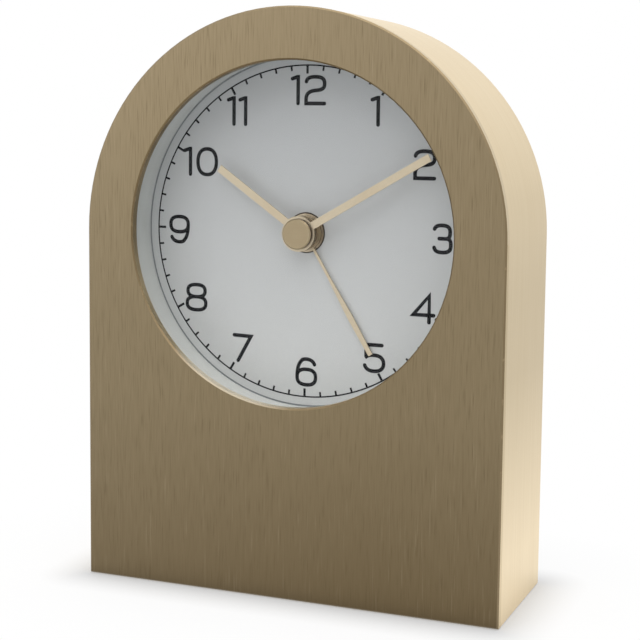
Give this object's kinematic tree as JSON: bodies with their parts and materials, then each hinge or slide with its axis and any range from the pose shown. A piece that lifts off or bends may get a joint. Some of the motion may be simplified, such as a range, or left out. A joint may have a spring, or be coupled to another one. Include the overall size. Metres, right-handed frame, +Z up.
{
  "type": "arch-top mantel alarm clock",
  "caption": "Small free-standing quartz alarm clock with an arched metal case, a round dial with hands, and knobs, alarm switch and battery door at the back.",
  "frame": {"origin": "on the surface the clock stands on, under the middle of the case", "axes": "+X to the right of someone facing the dial, -Y out of the dial, +Z up"},
  "size_m": [0.1, 0.035, 0.132],
  "materials": {
    "brushed_gold": "brushed vertically, gold-brown anodised",
    "champagne_case": "satin champagne-gold metallic paint",
    "clear_lens": "polished mineral glass",
    "ring_white": "satin moulded white",
    "dial_silver": "fine matt silver with black print",
    "carrier_plastic": "moulded",
    "cover_plastic": "finely textured black moulding",
    "knob_plastic": "satin black moulding",
    "hand_gold": "satin champagne gold",
    "cap_gold": "satin gold face and rim",
    "screw_steel": "zinc plated",
    "housing_plastic": "moulded off-white",
    "gear_plastic": "moulded acetal",
    "arbor_brass": "turned and cut",
    "battery_can": "plain printed sleeve on a metal can",
    "contact_nickel": "nickel plated spring steel",
    "copper_wire": "enamelled winding",
    "magnet_grey": "sintered, black",
    "yoke_steel": "stamped soft iron",
    "board_green": "glass-epoxy laminate, green resist",
    "chip_black": "epoxy blob",
    "lead_red": "insulated stranded wire",
    "sounder_brass": "thin sheet",
    "sounder_ceramic": "silvered ceramic"
  },
  "bodies": {
    "case": {"front_plate": "brushed_gold", "case_band": "champagne_case", "lens": "clear_lens", "reflector_ring": "ring_white", "dial": "dial_silver", "dial_carrier": "carrier_plastic", "carrier_screws": "screw_steel", "back_cover": "cover_plastic", "cover_screws": "screw_steel", "battery": "battery_can", "battery_contact": "contact_nickel", "battery_spring": "contact_nickel", "battery_leads": "lead_red", "sounder_disc": "sounder_brass", "sounder_element": "sounder_ceramic", "sounder_leads": "lead_red", "switch_board": "board_green", "switch_leaf": "contact_nickel", "switch_leads": "lead_red", "movement_housing": "housing_plastic", "movement_lid": "housing_plastic", "train_bridge": "housing_plastic", "stator": "yoke_steel", "coil_core": "yoke_steel", "coil_bobbin": "gear_plastic", "coil_winding": "copper_wire", "circuit_board": "board_green", "quartz_crystal": "contact_nickel", "timing_chip": "chip_black"},
    "battery_door": {"battery_door": "cover_plastic"},
    "alarm_switch": {"alarm_switch": "knob_plastic"},
    "minute_works": {"cannon_pinion": "arbor_brass", "minute_hand": "hand_gold", "hand_cap": "cap_gold"},
    "hour_works": {"hour_wheel": "gear_plastic", "hour_hand": "hand_gold"},
    "time_setting": {"setting_wheel": "gear_plastic", "time_knob": "knob_plastic"},
    "alarm_works": {"alarm_wheel": "gear_plastic", "alarm_hand": "hand_gold"},
    "alarm_setting": {"alarm_setting_pinion": "gear_plastic", "alarm_knob": "knob_plastic"},
    "centre_train": {"centre_wheel": "gear_plastic"},
    "third_train": {"third_wheel": "gear_plastic"},
    "second_train": {"second_wheel": "gear_plastic"},
    "intermediate_train": {"intermediate_wheel": "gear_plastic"},
    "rotor": {"rotor_pinion": "gear_plastic", "rotor_magnet": "magnet_grey"}
  },
  "joints": [
    {"name": "battery_door_lift", "type": "slide", "parent": "case", "child": "battery_door", "axis": [0, 1, 0], "range_m": [0, 0.02]},
    {"name": "alarm_switch_slide", "type": "slide", "parent": "case", "child": "alarm_switch", "axis": [1, 0, 0], "range_m": [0, 0.004]},
    {"name": "minute_hand_turn", "type": "hinge", "parent": "case", "child": "minute_works", "pos_m": [0, 0, 0.082], "axis": [0, 1, 0], "continuous": true},
    {"name": "hour_hand_turn", "type": "hinge", "parent": "case", "child": "hour_works", "pos_m": [0, 0, 0.082], "axis": [0, 1, 0], "continuous": true},
    {"name": "time_knob_turn", "type": "hinge", "parent": "case", "child": "time_setting", "pos_m": [-0.0096, 0, 0.082], "axis": [0, 1, 0], "continuous": true},
    {"name": "alarm_hand_turn", "type": "hinge", "parent": "case", "child": "alarm_works", "pos_m": [0, 0, 0.082], "axis": [0, 1, 0], "continuous": true},
    {"name": "alarm_knob_turn", "type": "hinge", "parent": "case", "child": "alarm_setting", "pos_m": [0.0104, 0, 0.082], "axis": [0, 1, 0], "continuous": true},
    {"name": "second_wheel_turn", "type": "hinge", "parent": "case", "child": "second_train", "pos_m": [0, 0, 0.082], "axis": [0, 1, 0], "continuous": true},
    {"name": "third_wheel_turn", "type": "hinge", "parent": "case", "child": "third_train", "pos_m": [0, 0, 0.09152], "axis": [0, 1, 0], "continuous": true},
    {"name": "centre_wheel_turn", "type": "hinge", "parent": "case", "child": "centre_train", "pos_m": [0, 0, 0.082], "axis": [0, 1, 0], "continuous": true},
    {"name": "intermediate_wheel_turn", "type": "hinge", "parent": "case", "child": "intermediate_train", "pos_m": [0, 0, 0.075], "axis": [0, 1, 0], "continuous": true},
    {"name": "rotor_turn", "type": "hinge", "parent": "case", "child": "rotor", "pos_m": [0, 0, 0.0702], "axis": [0, 1, 0], "continuous": true}
  ],
  "couplings": [
    {"joint": "hour_hand_turn", "follows": "minute_hand_turn", "ratio": 0.083333},
    {"joint": "time_knob_turn", "follows": "minute_hand_turn", "ratio": -0.33333},
    {"joint": "alarm_knob_turn", "follows": "alarm_hand_turn", "ratio": -3.3333},
    {"joint": "third_wheel_turn", "follows": "second_wheel_turn", "ratio": -0.125},
    {"joint": "centre_wheel_turn", "follows": "second_wheel_turn", "ratio": 0.016667},
    {"joint": "intermediate_wheel_turn", "follows": "second_wheel_turn", "ratio": -6},
    {"joint": "rotor_turn", "follows": "second_wheel_turn", "ratio": 30}
  ]
}
